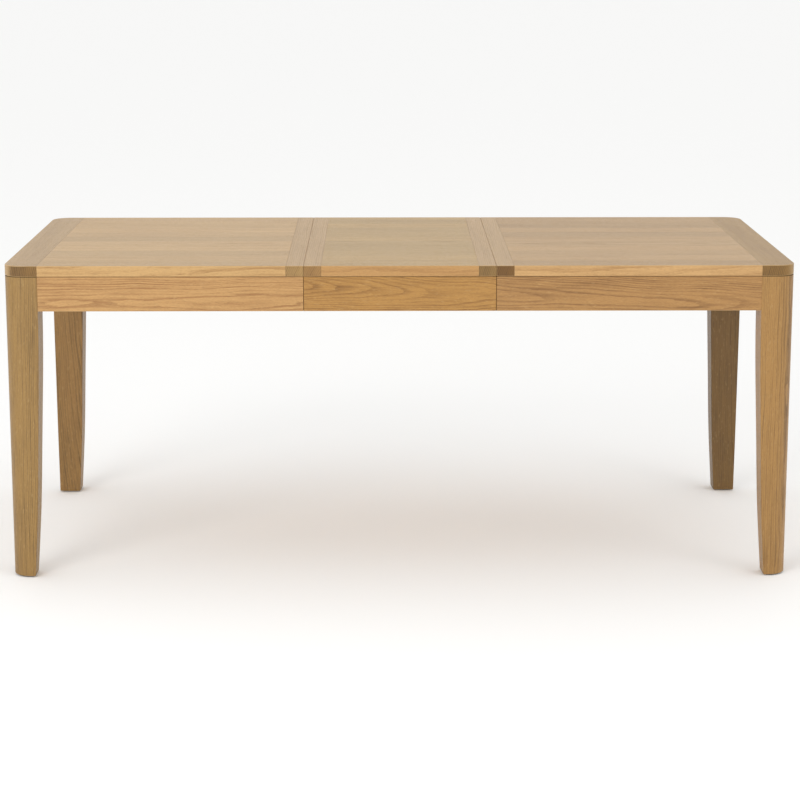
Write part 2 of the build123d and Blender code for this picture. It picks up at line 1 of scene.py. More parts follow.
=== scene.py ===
import bpy
import numpy as np
from mathutils import Euler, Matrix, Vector


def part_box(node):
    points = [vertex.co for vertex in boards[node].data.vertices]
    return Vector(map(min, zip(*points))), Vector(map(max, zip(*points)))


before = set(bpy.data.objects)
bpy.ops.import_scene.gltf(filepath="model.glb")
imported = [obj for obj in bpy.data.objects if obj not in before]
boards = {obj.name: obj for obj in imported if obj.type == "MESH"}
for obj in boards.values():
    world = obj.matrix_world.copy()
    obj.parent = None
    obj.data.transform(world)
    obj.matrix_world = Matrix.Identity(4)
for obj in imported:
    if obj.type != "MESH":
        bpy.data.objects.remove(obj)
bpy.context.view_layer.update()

# ---- Legs ----
# Four legs, each planed from one square length of oak, with a large round on the outer corner and the two
# inner faces tapered to the foot. Upright grain, finished with matt oil, so the pores stay open.
sides = ("left", "right")
ends = ("front", "rear")
luck = np.random.default_rng(11)  # where in its trunk each board was sawn


def linear(shade):
    """An sRGB hex colour as linear light: each channel is divided by 12.92 below 0.04045, and above it
    goes up to the power 2.4 after 0.055 is added and it is divided by 1.055."""
    channels = np.array([int(shade[i:i + 2], 16) for i in (1, 3, 5)]) / 255
    light = np.where(channels <= 0.04045, channels / 12.92, ((channels + 0.055) / 1.055) ** 2.4)
    return (*light.tolist(), 1.0)


def put(tree, kind, feeds, **settings):
    """Adds one node with its settings. Each feed is another node's output, or the plain value of that input.
    Inputs that share a name go by their number. In a colour mix 0 is the share, 6 and 7 are the two colours
    and output 2 is the result. A map range takes 1 to 2, which is 0 to 1 unless given, to 3 to 4."""
    node = tree.nodes.new(kind)
    for name, value in settings.items():
        setattr(node, name, value)
    for socket, value in feeds.items():
        if isinstance(value, bpy.types.NodeSocket):
            tree.links.new(value, node.inputs[socket])
        else:
            node.inputs[socket].default_value = value
    return node


def oiled_oak(name, box, grain, *, pale, dark, end_pale, end_dark, heart, slide, lean, ring, figure, contrast,
              staves=None, long_edges=None, joints=None):
    """European oak, planed, sanded and oiled: matt, with open pores. Its figure is a solid one: growth rings
    are circles round a heart line that lies near the board and leans to it, so a face cut along them shows
    arches, a face cut across them shows straight lines, and an end shows arcs. A point's year is its distance
    from the heart line over the width of a ring. Lengths are in metres, and noise scales in cells a metre."""
    material = bpy.data.materials.new(name)
    material.use_nodes = True
    tree = material.node_tree
    tree.nodes.clear()
    turn = Euler({"X": (0, 0, 0), "Y": (0, 0, -np.pi / 2), "Z": (0, np.pi / 2, 0)}[grain])
    centre = (Vector(box[0]) + Vector(box[1])) / 2
    place = put(tree, "ShaderNodeTexCoord", {})
    along = put(tree, "ShaderNodeMapping", {
        "Vector": place.outputs["Object"], "Rotation": turn, "Location": -(turn.to_matrix() @ centre)}).outputs[0]

    if staves:
        # The panel is edge-glued from staves, and each has its own shade and its own place in the tree. The
        # glue line between two of them is 0.9 mm wide on each side.
        glue_width = 0.0009
        across = put(tree, "ShaderNodeSeparateXYZ", {0: along}).outputs["Y"]
        count = put(tree, "ShaderNodeMath", {0: across, 1: 1 / staves}, operation="MULTIPLY").outputs[0]
        count = put(tree, "ShaderNodeMath", {0: count, 1: slide * 7.3}, operation="ADD").outputs[0]
        number = put(tree, "ShaderNodeMath", {0: count}, operation="FLOOR").outputs[0]
        chance = put(tree, "ShaderNodeTexWhiteNoise", {"W": number}, noise_dimensions="1D")
        throw = put(tree, "ShaderNodeVectorMath", {
            0: chance.outputs["Color"], 1: (2.0, 0.07, 0.03)}, operation="MULTIPLY").outputs[0]
        figure_at = put(tree, "ShaderNodeVectorMath", {0: along, 1: throw}, operation="ADD").outputs[0]
        edge = put(tree, "ShaderNodeMath", {0: count}, operation="FRACT").outputs[0]
        edge = put(tree, "ShaderNodeMath", {0: edge, 1: 0.5}, operation="SUBTRACT").outputs[0]
        edge = put(tree, "ShaderNodeMath", {0: edge}, operation="ABSOLUTE").outputs[0]
        glue_line = put(tree, "ShaderNodeMapRange", {
            0: edge, 1: 0.5 - glue_width / staves, 2: 0.5}, interpolation_type="SMOOTHSTEP").outputs[0]
        stave_shade = put(tree, "ShaderNodeMapRange", {
            0: chance.outputs["Value"], 3: 0.90, 4: 1.08}).outputs[0]
    else:
        figure_at, glue_line, stave_shade = along, None, None

    # The trunk was never quite round or straight: rings drift by up to 11 mm over a third of a metre.
    drift_scale, drift_reach = (2.6, 11.0, 11.0), 0.022 * figure
    drift_at = put(tree, "ShaderNodeVectorMath", {
        0: figure_at, 1: drift_scale}, operation="MULTIPLY").outputs[0]
    drift = put(tree, "ShaderNodeTexNoise", {
        "Vector": drift_at, "Scale": 1.0, "Detail": 2.0}).outputs["Color"]
    drift = put(tree, "ShaderNodeVectorMath", {0: drift, 1: (0.5, 0.5, 0.5)}, operation="SUBTRACT").outputs[0]
    drift = put(tree, "ShaderNodeVectorMath", {
        0: drift, 1: (0.0, drift_reach, drift_reach)}, operation="MULTIPLY").outputs[0]
    wood = put(tree, "ShaderNodeMapping", {
        "Vector": figure_at, "Rotation": (0, lean[0], lean[1]),
        "Location": (slide, heart[0], heart[1])}).outputs[0]
    wood = put(tree, "ShaderNodeVectorMath", {0: wood, 1: drift}, operation="ADD").outputs[0]
    spoke = put(tree, "ShaderNodeVectorMath", {0: wood, 1: (0, 1, 1)}, operation="MULTIPLY").outputs[0]
    radius = put(tree, "ShaderNodeVectorMath", {0: spoke}, operation="LENGTH").outputs["Value"]
    years = put(tree, "ShaderNodeMath", {0: radius, 1: 1 / ring}, operation="MULTIPLY").outputs[0]
    # A ring's edge wavers by a third of its width, over 70 mm along the board and 8 mm across.
    waver_scale = (14.0, 120.0, 120.0)
    waver_at = put(tree, "ShaderNodeVectorMath", {0: wood, 1: waver_scale}, operation="MULTIPLY").outputs[0]
    waver = put(tree, "ShaderNodeTexNoise", {"Vector": waver_at, "Scale": 1.0, "Detail": 3.0}).outputs[0]
    years = put(tree, "ShaderNodeMath", {0: waver, 1: 0.7, 2: years}, operation="MULTIPLY_ADD").outputs[0]
    season = put(tree, "ShaderNodeMath", {0: years}, operation="FRACT").outputs[0]
    late = put(tree, "ShaderNodeMapRange", {
        0: season, 1: 0.08, 2: 0.62}, interpolation_type="SMOOTHSTEP").outputs[0]
    # Some years are strong and some hardly show.
    year = put(tree, "ShaderNodeMath", {0: years}, operation="FLOOR").outputs[0]
    strong = put(tree, "ShaderNodeTexWhiteNoise", {"W": year}, noise_dimensions="1D").outputs["Value"]
    strong = put(tree, "ShaderNodeMapRange", {0: strong, 3: 0.25, 4: 1.0}).outputs[0]
    early = put(tree, "ShaderNodeMath", {0: 1.0, 1: late}, operation="SUBTRACT").outputs[0]
    early = put(tree, "ShaderNodeMath", {0: early, 1: strong}, operation="MULTIPLY").outputs[0]

    # Pores are 0.3 mm wide and some 8 mm long; they are drawn 1 mm wide so that they show.
    pore_scale = (62.0, 900.0, 900.0)
    pore_at = put(tree, "ShaderNodeVectorMath", {0: wood, 1: pore_scale}, operation="MULTIPLY").outputs[0]
    pore = put(tree, "ShaderNodeTexNoise", {"Vector": pore_at, "Scale": 1.0, "Detail": 2.0}).outputs[0]
    pore = put(tree, "ShaderNodeMapRange", {
        0: pore, 1: 0.56, 2: 0.65}, interpolation_type="SMOOTHSTEP").outputs[0]
    open_pore = put(tree, "ShaderNodeMapRange", {0: early, 3: 0.35, 4: 1.0}).outputs[0]
    pore = put(tree, "ShaderNodeMath", {0: pore, 1: open_pore}, operation="MULTIPLY").outputs[0]
    # The late wood's own pores are finer: hairs 0.4 mm wide and 7 mm long, all over.
    hair_scale = (140.0, 2400.0, 2400.0)
    hair_at = put(tree, "ShaderNodeVectorMath", {0: wood, 1: hair_scale}, operation="MULTIPLY").outputs[0]
    hair = put(tree, "ShaderNodeTexNoise", {"Vector": hair_at, "Scale": 1.0, "Detail": 1.0}).outputs[0]
    hair = put(tree, "ShaderNodeMapRange", {
        0: hair, 1: 0.57, 2: 0.66, 4: 0.7}, interpolation_type="SMOOTHSTEP").outputs[0]
    pore = put(tree, "ShaderNodeMath", {0: pore, 1: hair}, operation="MAXIMUM").outputs[0]
    # Rays show as pale flecks 2 mm wide and 12 mm long.
    fleck_scale = (70.0, 420.0, 300.0)
    fleck_at = put(tree, "ShaderNodeVectorMath", {0: wood, 1: fleck_scale}, operation="MULTIPLY").outputs[0]
    fleck = put(tree, "ShaderNodeTexNoise", {"Vector": fleck_at, "Scale": 1.0, "Detail": 1.0}).outputs[0]
    fleck = put(tree, "ShaderNodeMapRange", {
        0: fleck, 1: 0.60, 2: 0.72}, interpolation_type="SMOOTHSTEP").outputs[0]
    # Soft clouds of colour, 330 mm long and 60 mm wide, where the wood grew slower or faster.
    cloud_scale = (3.0, 16.0, 16.0)
    cloud_at = put(tree, "ShaderNodeVectorMath", {
        0: figure_at, 1: cloud_scale}, operation="MULTIPLY").outputs[0]
    cloud = put(tree, "ShaderNodeTexNoise", {"Vector": cloud_at, "Scale": 1.0, "Detail": 3.0}).outputs[0]
    # Fine streaks, 4 mm wide and 110 mm long, where the early wood's pores lie close together.
    streak_scale = (9.0, 230.0, 230.0)
    streak_at = put(tree, "ShaderNodeVectorMath", {0: wood, 1: streak_scale}, operation="MULTIPLY").outputs[0]
    streak = put(tree, "ShaderNodeTexNoise", {"Vector": streak_at, "Scale": 1.0, "Detail": 3.0}).outputs[0]
    streak = put(tree, "ShaderNodeMapRange", {0: streak, 1: 0.35, 2: 0.68, 3: -0.5, 4: 0.5}).outputs[0]

    # Clouds, streaks and early wood together say how dark the face is, between its two shades.
    tone = put(tree, "ShaderNodeMapRange", {0: cloud, 1: 0.25, 2: 0.75, 3: 0.32, 4: -0.12}).outputs[0]
    tone = put(tree, "ShaderNodeMath", {
        0: streak, 1: 0.7 * contrast, 2: tone}, operation="MULTIPLY_ADD").outputs[0]
    tone = put(tree, "ShaderNodeMath", {
        0: early, 1: contrast, 2: tone}, operation="MULTIPLY_ADD", use_clamp=True).outputs[0]
    face = put(tree, "ShaderNodeMix", {
        0: tone, 6: linear(pale), 7: linear(dark)}, data_type="RGBA").outputs[2]
    pore_share = put(tree, "ShaderNodeMath", {0: pore, 1: 0.42}, operation="MULTIPLY").outputs[0]
    face = put(tree, "ShaderNodeMix", {
        0: pore_share, 6: face, 7: linear("#5b3b1c")}, data_type="RGBA").outputs[2]
    fleck_share = put(tree, "ShaderNodeMath", {0: fleck, 1: 0.10}, operation="MULTIPLY").outputs[0]
    face = put(tree, "ShaderNodeMix", {
        0: fleck_share, 6: face, 7: linear("#d8b980")}, data_type="RGBA").outputs[2]

    # An end drinks more oil than a face, so it is darker and browner.
    end_tone = put(tree, "ShaderNodeMath", {0: cloud, 1: 1.4, 2: -0.45}, operation="MULTIPLY_ADD").outputs[0]
    end_tone = put(tree, "ShaderNodeMath", {
        0: early, 1: 0.8, 2: end_tone}, operation="MULTIPLY_ADD", use_clamp=True).outputs[0]
    end = put(tree, "ShaderNodeMix", {
        0: end_tone, 6: linear(end_pale), 7: linear(end_dark)}, data_type="RGBA").outputs[2]
    end = put(tree, "ShaderNodeMix", {
        0: pore_share, 6: end, 7: linear("#33220f")}, data_type="RGBA").outputs[2]
    facing = put(tree, "ShaderNodeSeparateXYZ", {0: place.outputs["Normal"]}).outputs
    sheer = [put(tree, "ShaderNodeMath", {0: out}, operation="ABSOLUTE").outputs[0] for out in facing]
    cut_across = put(tree, "ShaderNodeMapRange", {
        0: sheer["XYZ".index(grain)], 1: 0.55, 2: 0.92}, interpolation_type="SMOOTHSTEP").outputs[0]
    shade = put(tree, "ShaderNodeMix", {0: cut_across, 6: face, 7: end}, data_type="RGBA").outputs[2]

    # Hands rub the oil off the arrises, which lie flat to none of the three directions.
    square = put(tree, "ShaderNodeMath", {0: sheer[0], 1: sheer[1]}, operation="MAXIMUM").outputs[0]
    square = put(tree, "ShaderNodeMath", {0: square, 1: sheer[2]}, operation="MAXIMUM").outputs[0]
    upright = put(tree, "ShaderNodeMapRange", {0: sheer[2], 1: 0.05, 2: 0.25}).outputs[0]
    rubbed = put(tree, "ShaderNodeMapRange", {
        0: square, 1: 0.995, 2: 0.90}, interpolation_type="SMOOTHSTEP").outputs[0]
    rubbed = put(tree, "ShaderNodeMath", {0: rubbed, 1: upright}, operation="MULTIPLY").outputs[0]
    rubbed = put(tree, "ShaderNodeMath", {0: rubbed, 1: cloud}, operation="MULTIPLY").outputs[0]
    shade = put(tree, "ShaderNodeMix", {
        0: rubbed, 6: shade, 7: linear("#cfac78")}, data_type="RGBA").outputs[2]
    if joints:
        # A glued joint never closes quite flush: a dark hair of glue and shadow stays along it, on each face
        # that it comes out on. Only the boards across the table have them, so their jointed faces look along X.
        hair_width = 0.0016
        half_width = abs((turn.to_matrix() @ (Vector(box[1]) - Vector(box[0])))[1]) / 2
        across = put(tree, "ShaderNodeSeparateXYZ", {0: along}).outputs["Y"]
        if joints == "both":
            across = put(tree, "ShaderNodeMath", {0: across}, operation="ABSOLUTE").outputs[0]
        elif joints == "right":
            across = put(tree, "ShaderNodeMath", {0: across, 1: -1.0}, operation="MULTIPLY").outputs[0]
        glue_hair = put(tree, "ShaderNodeMapRange", {
            0: across, 1: half_width - hair_width, 2: half_width, 4: 0.8}).outputs[0]
        outside = put(tree, "ShaderNodeMapRange", {0: sheer[0], 1: 0.3, 2: 0.7, 3: 1.0, 4: 0.0}).outputs[0]
        glue_hair = put(tree, "ShaderNodeMath", {0: glue_hair, 1: outside}, operation="MULTIPLY").outputs[0]
        shade = put(tree, "ShaderNodeMix", {
            0: glue_hair, 6: shade, 7: linear("#4a3218")}, data_type="RGBA").outputs[2]
    if staves:
        shade = put(tree, "ShaderNodeVectorMath", {0: shade, 3: stave_shade}, operation="SCALE").outputs[0]
        line_share = put(tree, "ShaderNodeMath", {0: glue_line, 1: 0.35}, operation="MULTIPLY").outputs[0]
        shade = put(tree, "ShaderNodeMix", {
            0: line_share, 6: shade, 7: linear("#6b4a28")}, data_type="RGBA").outputs[2]
        # The faces of the panel's long edges, front and back, are multiplied by a tint of their own, given per
        # panel.
        edge_facing = put(tree, "ShaderNodeMapRange", {
            0: sheer[1], 1: 0.7, 2: 0.95}, interpolation_type="SMOOTHSTEP").outputs[0]
        tinted = put(tree, "ShaderNodeVectorMath", {0: shade, 1: long_edges}, operation="MULTIPLY").outputs[0]
        shade = put(tree, "ShaderNodeMix", {0: edge_facing, 6: shade, 7: tinted}, data_type="RGBA").outputs[2]

    # The oil leaves a matt skin, duller in the pores and on the ends. Pores are 0.25 mm deep.
    pore_depth = 0.00025
    dull = put(tree, "ShaderNodeMath", {0: pore, 1: 0.22, 2: 0.40}, operation="MULTIPLY_ADD").outputs[0]
    dull = put(tree, "ShaderNodeMath", {0: early, 1: 0.06, 2: dull}, operation="MULTIPLY_ADD").outputs[0]
    dull = put(tree, "ShaderNodeMath", {
        0: cut_across, 1: 0.12, 2: dull}, operation="MULTIPLY_ADD", use_clamp=True).outputs[0]
    relief = put(tree, "ShaderNodeMath", {0: pore, 1: -0.8, 2: 1.0}, operation="MULTIPLY_ADD").outputs[0]
    relief = put(tree, "ShaderNodeMath", {0: early, 1: -0.25, 2: relief}, operation="MULTIPLY_ADD").outputs[0]
    grain_relief = put(tree, "ShaderNodeBump", {"Height": relief, "Strength": 0.45, "Distance": pore_depth})
    oil = put(tree, "ShaderNodeBsdfPrincipled", {
        "Base Color": shade, "Roughness": dull, "Normal": grain_relief.outputs[0], "IOR": 1.5})
    put(tree, "ShaderNodeOutputMaterial", {"Surface": oil.outputs[0]})
    return material


def dress(name, material):
    """Gives a piece its finish, through its object's material slots."""
    for slot in boards[name].material_slots:
        slot.material = material


# The rear legs are darker than the front ones, and the right rear leg is darkest: painted shade, for the shade
# they stand in under the table.
leg_shades = {
    "left_front_leg": ("#96743d", "#604720"), "right_front_leg": ("#a27940", "#6a4b20"),
    "left_rear_leg": ("#8f6b37", "#5c431c"), "right_rear_leg": ("#735527", "#483312"),
}
for side in sides:
    for end in ends:
        name = f"{side}_{end}_leg"
        pale, dark = leg_shades[name]
        dress(name, oiled_oak(
            f"oiled_oak_{name}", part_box(name), "Z", pale=pale, dark=dark, end_pale="#7b5f31", end_dark="#563f1d",
            heart=(luck.uniform(0.05, 0.09), luck.uniform(0.05, 0.10)), slide=luck.uniform(-3, 3),
            lean=(luck.uniform(-0.02, 0.02), luck.uniform(-0.02, 0.02)), ring=0.0042, figure=0.7, contrast=0.6))

# ---- Aprons and the leaf's skirts ----
# Rails of flat-sawn oak under the top, with the figure's arches running along them. Those of the halves are
# tenoned into the legs; the leaf's two skirts are glued to it, and meet the halves' rails at the seams.
rails = [f"{side}_{end}_apron" for side in sides for end in ("front", "rear", "end")]
rails += ["leaf_front_skirt", "leaf_rear_skirt"]
usual_rail = ("#b1864f", "#7e5429")
rail_shades = {
    "left_front_apron": ("#ba8f58", "#87592b"),
    "leaf_front_skirt": ("#aa7d3d", "#7b511e"),
    "right_front_apron": ("#a87d47", "#714a21"),
}
for name in rails:
    pale, dark = rail_shades.get(name, usual_rail)
    grain = "Y" if name.endswith("end_apron") else "X"
    heart_depth = 0.045 if grain == "X" else luck.uniform(0.04, 0.06)
    heart = (heart_depth, luck.uniform(-0.02, 0.02))
    dress(name, oiled_oak(
        f"oiled_oak_{name}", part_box(name), grain, pale=pale, dark=dark, end_pale="#856336", end_dark="#5c4120",
        heart=heart, slide=luck.uniform(-3, 3), lean=(luck.uniform(-0.05, 0.05), luck.uniform(-0.05, 0.05)),
        ring=0.0036, figure=0.9, contrast=0.62))

# ---- Blocks, runners, battens and cross rails ----
# The frame that nobody sees from above is beech, planed and left bare: runners that slide in each other,
# corner blocks, cross rails, the leaf's battens and glue blocks, and the tie between the centre runners.
frame_grain = {
    "centre_runner_front": "X", "centre_runner_rear": "X", "centre_tie": "Y", "leaf_battens": "Y",
    "leaf_glue_blocks": "X",
}
for side in sides:
    frame_grain.update({
        f"{side}_runner_front": "X", f"{side}_runner_rear": "X", f"{side}_cross_rail": "Y",
        f"{side}_corner_blocks": "Z",
    })


def bare_beech(name, box, grain, slide):
    """Steamed beech, planed and not finished: even and pinkish, with faint lines 6 mm apart along the grain,
    and short dark ray flecks 0.5 mm wide and 2 to 3 mm long, drawn half as large again so that they show."""
    material = bpy.data.materials.new(name)
    material.use_nodes = True
    tree = material.node_tree
    tree.nodes.clear()
    turn = Euler({"X": (0, 0, 0), "Y": (0, 0, -np.pi / 2), "Z": (0, np.pi / 2, 0)}[grain])
    centre = (Vector(box[0]) + Vector(box[1])) / 2
    place = put(tree, "ShaderNodeTexCoord", {})
    along = put(tree, "ShaderNodeMapping", {
        "Vector": place.outputs["Object"], "Rotation": turn,
        "Location": Vector((slide, slide / 3, 0)) - turn.to_matrix() @ centre}).outputs[0]
    line_scale, fleck_scale = (3.0, 160.0, 160.0), (300.0, 1300.0, 1300.0)
    line_at = put(tree, "ShaderNodeVectorMath", {0: along, 1: line_scale}, operation="MULTIPLY").outputs[0]
    lines = put(tree, "ShaderNodeTexNoise", {"Vector": line_at, "Scale": 1.0, "Detail": 3.0}).outputs[0]
    fleck_at = put(tree, "ShaderNodeVectorMath", {0: along, 1: fleck_scale}, operation="MULTIPLY").outputs[0]
    fleck = put(tree, "ShaderNodeTexNoise", {"Vector": fleck_at, "Scale": 1.0, "Detail": 1.0}).outputs[0]
    fleck = put(tree, "ShaderNodeMapRange", {
        0: fleck, 1: 0.60, 2: 0.70}, interpolation_type="SMOOTHSTEP").outputs[0]
    shade = put(tree, "ShaderNodeMix", {
        0: lines, 6: linear("#e2c19c"), 7: linear("#c79f76")}, data_type="RGBA").outputs[2]
    fleck_share = put(tree, "ShaderNodeMath", {0: fleck, 1: 0.38}, operation="MULTIPLY").outputs[0]
    shade = put(tree, "ShaderNodeMix", {
        0: fleck_share, 6: shade, 7: linear("#8f6440")}, data_type="RGBA").outputs[2]
    facing = put(tree, "ShaderNodeSeparateXYZ", {0: place.outputs["Normal"]}).outputs["XYZ".index(grain)]
    facing = put(tree, "ShaderNodeMath", {0: facing}, operation="ABSOLUTE").outputs[0]
    cut_across = put(tree, "ShaderNodeMapRange", {0: facing, 1: 0.6, 2: 0.9}).outputs[0]
    cut_share = put(tree, "ShaderNodeMath", {0: cut_across, 1: 0.55}, operation="MULTIPLY").outputs[0]
    shade = put(tree, "ShaderNodeMix", {
        0: cut_share, 6: shade, 7: linear("#a37c55")}, data_type="RGBA").outputs[2]
    dull = put(tree, "ShaderNodeMapRange", {0: lines, 3: 0.58, 4: 0.72}).outputs[0]
    relief = put(tree, "ShaderNodeMath", {0: fleck, 1: -0.6, 2: lines}, operation="MULTIPLY_ADD").outputs[0]
    relief = put(tree, "ShaderNodeBump", {"Height": relief, "Strength": 0.35, "Distance": 0.0002})
    bare = put(tree, "ShaderNodeBsdfPrincipled", {
        "Base Color": shade, "Roughness": dull, "Normal": relief.outputs[0], "IOR": 1.5})
    put(tree, "ShaderNodeOutputMaterial", {"Surface": bare.outputs[0]})
    return material


for name, grain in frame_grain.items():
    dress(name, bare_beech(f"bare_beech_{name}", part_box(name), grain, luck.uniform(-2, 2)))

# ---- Racks and pinions ----
# Each runner set has two racks and one pinion of milled steel, which make both halves move equally. The
# cutter leaves fine lines on them, and they carry a film of grease.
milled = bpy.data.materials.new("milled_steel")
milled.use_nodes = True
tree = milled.node_tree
tree.nodes.clear()
place = put(tree, "ShaderNodeTexCoord", {})
# Cutter marks lie 0.4 mm apart; they are drawn 0.8 mm apart so that they show. Patches of grease are 11 mm.
cut_at = put(tree, "ShaderNodeMapping", {
    "Vector": place.outputs["Object"], "Scale": (60.0, 60.0, 1250.0)}).outputs[0]
cuts = put(tree, "ShaderNodeTexNoise", {"Vector": cut_at, "Scale": 1.0, "Detail": 2.0}).outputs[0]
grease_at = put(tree, "ShaderNodeMapping", {
    "Vector": place.outputs["Object"], "Scale": (90.0, 90.0, 90.0)}).outputs[0]
grease = put(tree, "ShaderNodeTexNoise", {"Vector": grease_at, "Scale": 1.0, "Detail": 4.0}).outputs[0]
grease = put(tree, "ShaderNodeMapRange", {
    0: grease, 1: 0.42, 2: 0.66}, interpolation_type="SMOOTHSTEP").outputs[0]
steel_shade = put(tree, "ShaderNodeMix", {
    0: grease, 6: linear("#b4b3ae"), 7: linear("#8b8778")}, data_type="RGBA").outputs[2]
steel_dull = put(tree, "ShaderNodeMapRange", {0: grease, 3: 0.38, 4: 0.24}).outputs[0]
steel_relief = put(tree, "ShaderNodeBump", {"Height": cuts, "Strength": 0.4, "Distance": 0.0001})
steel = put(tree, "ShaderNodeBsdfPrincipled", {
    "Base Color": steel_shade, "Roughness": steel_dull, "Normal": steel_relief.outputs[0], "Metallic": 1.0})
put(tree, "ShaderNodeOutputMaterial", {"Surface": steel.outputs[0]})
for name in ("left_racks", "right_racks", "pinion_front", "pinion_rear"):
    dress(name, milled)

# ---- Screws, bolts and pins ----
# Wood screws, hanger bolts with their washers and nuts, stop pins and the pinions' axles. They are steel,
# barrel plated with zinc, and the passivation over it leaves a faint blue and yellow cast.
plated = bpy.data.materials.new("zinc_plated_steel")
plated.use_nodes = True
tree = plated.node_tree
tree.nodes.clear()
place = put(tree, "ShaderNodeTexCoord", {})
# The colour cast comes in patches of 7 mm, and knocks from the plating barrel are 1.4 mm wide.
cast_at = put(tree, "ShaderNodeMapping", {
    "Vector": place.outputs["Object"], "Scale": (140.0, 140.0, 140.0)}).outputs[0]
cast = put(tree, "ShaderNodeTexNoise", {"Vector": cast_at, "Scale": 1.0, "Detail": 2.0}).outputs[0]
cast = put(tree, "ShaderNodeMapRange", {
    0: cast, 1: 0.35, 2: 0.65}, interpolation_type="SMOOTHSTEP").outputs[0]
knock_at = put(tree, "ShaderNodeMapping", {
    "Vector": place.outputs["Object"], "Scale": (700.0, 700.0, 700.0)}).outputs[0]
knocks = put(tree, "ShaderNodeTexNoise", {"Vector": knock_at, "Scale": 1.0, "Detail": 2.0}).outputs[0]
zinc_shade = put(tree, "ShaderNodeMix", {
    0: cast, 6: linear("#c9ccd0"), 7: linear("#cfc9ae")}, data_type="RGBA").outputs[2]
zinc_dull = put(tree, "ShaderNodeMapRange", {0: knocks, 1: 0.3, 2: 0.7, 3: 0.26, 4: 0.42}).outputs[0]
zinc_relief = put(tree, "ShaderNodeBump", {"Height": knocks, "Strength": 0.25, "Distance": 0.0001})
zinc = put(tree, "ShaderNodeBsdfPrincipled", {
    "Base Color": zinc_shade, "Roughness": zinc_dull, "Normal": zinc_relief.outputs[0], "Metallic": 1.0})
put(tree, "ShaderNodeOutputMaterial", {"Surface": zinc.outputs[0]})
fixings = [f"{side}_{kind}" for side in sides for kind in ("screws", "leg_bolts", "stop_pins")]
for name in fixings + ["leaf_screws", "centre_tie_screws", "pinion_axles"]:
    dress(name, plated)

# ---- Brackets, catches and their plates ----
# Pressed steel: the brackets between top and rails, the catch levers, and the plates they turn on and hook
# to. The sheet was rolled before it was plated, so it has faint lines along it and a duller skin.
pressed = bpy.data.materials.new("pressed_steel_plate")
pressed.use_nodes = True
tree = pressed.node_tree
tree.nodes.clear()
place = put(tree, "ShaderNodeTexCoord", {})
# Rolling lines are 25 mm long and lie 0.7 mm apart, and the plating's bloom comes in patches of 18 mm.
roll_at = put(tree, "ShaderNodeMapping", {
    "Vector": place.outputs["Object"], "Scale": (1400.0, 40.0, 1400.0)}).outputs[0]
rolled = put(tree, "ShaderNodeTexNoise", {"Vector": roll_at, "Scale": 1.0, "Detail": 2.0}).outputs[0]
bloom_at = put(tree, "ShaderNodeMapping", {
    "Vector": place.outputs["Object"], "Scale": (55.0, 55.0, 55.0)}).outputs[0]
bloom = put(tree, "ShaderNodeTexNoise", {"Vector": bloom_at, "Scale": 1.0, "Detail": 4.0}).outputs[0]
bloom = put(tree, "ShaderNodeMapRange", {
    0: bloom, 1: 0.38, 2: 0.68}, interpolation_type="SMOOTHSTEP").outputs[0]
plate_shade = put(tree, "ShaderNodeMix", {
    0: bloom, 6: linear("#c2c3c2"), 7: linear("#a3a4a0")}, data_type="RGBA").outputs[2]
plate_dull = put(tree, "ShaderNodeMapRange", {0: bloom, 3: 0.30, 4: 0.46}).outputs[0]
plate_relief = put(tree, "ShaderNodeBump", {"Height": rolled, "Strength": 0.25, "Distance": 0.00008})
plate = put(tree, "ShaderNodeBsdfPrincipled", {
    "Base Color": plate_shade, "Roughness": plate_dull, "Normal": plate_relief.outputs[0], "Metallic": 1.0})
put(tree, "ShaderNodeOutputMaterial", {"Surface": plate.outputs[0]})
plate_kinds = ("top_brackets", "catch_mounts", "front_catch", "rear_catch")
for name in [f"{side}_{kind}" for side in sides for kind in plate_kinds] + ["leaf_catch_keepers"]:
    dress(name, pressed)

# ---- Field panels ----
# The two halves' panels and the leaf's are edge-glued from oak staves 85 mm wide that run along the table,
# picked for their even colour, then sanded and oiled as one board.
stave_width = 0.085
for name, pale, dark, long_edges in (
        ("left_field_panel", "#c09e6b", "#9d7848", (1.08, 1.01, 0.91)),
        ("right_field_panel", "#b79462", "#957143", (1.22, 1.15, 1.09)),
        ("leaf_field_panel", "#b99962", "#987543", (0.92, 0.76, 0.65))):
    dress(name, oiled_oak(
        f"oiled_oak_{name}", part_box(name), "X", pale=pale, dark=dark, end_pale="#856336", end_dark="#5c4120",
        heart=(0.0, 0.09), slide=luck.uniform(-3, 3), lean=(0.012, 0.008), ring=0.0042, staves=stave_width,
        long_edges=long_edges, figure=0.7, contrast=0.55))

# ---- End boards and clamp strips ----
# Boards laid across the ends of the panels, which hold them flat: a wide one with round corners at each
# end of the table, and a narrow one on each side of both seams. Their own ends show at the table's edges.
strip_face = ("#b79667", "#937347")
# Each has the shades of its face, those of its ends, and the side or sides where a joint or seam shows.
cross_boards = {
    "left_end_board": (("#b19163", "#8d6e44"), ("#83602a", "#432c0e"), "right"),
    "right_end_board": (("#a48149", "#826134"), ("#8c672c", "#4c3311"), "left"),
    "left_clamp_strip": (strip_face, ("#ab8852", "#6b4f28"), "both"),
    "right_clamp_strip": (strip_face, ("#7a541c", "#442a0a"), "both"),
    "leaf_left_clamp": (strip_face, ("#a27a44", "#65471f"), "both"),
    "leaf_right_clamp": (strip_face, ("#8e6d39", "#563e1c"), "both"),
}
for name, (face, end, jointed) in cross_boards.items():
    dress(name, oiled_oak(
        f"oiled_oak_{name}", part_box(name), "Y", pale=face[0], dark=face[1], end_pale=end[0], end_dark=end[1],
        heart=(0.11 + luck.uniform(-0.03, 0.03), luck.uniform(0.03, 0.05)), slide=luck.uniform(-3, 3),
        lean=(luck.uniform(-0.02, 0.02), luck.uniform(-0.02, 0.02)), ring=0.0042, figure=0.28, contrast=0.42,
        joints=jointed))

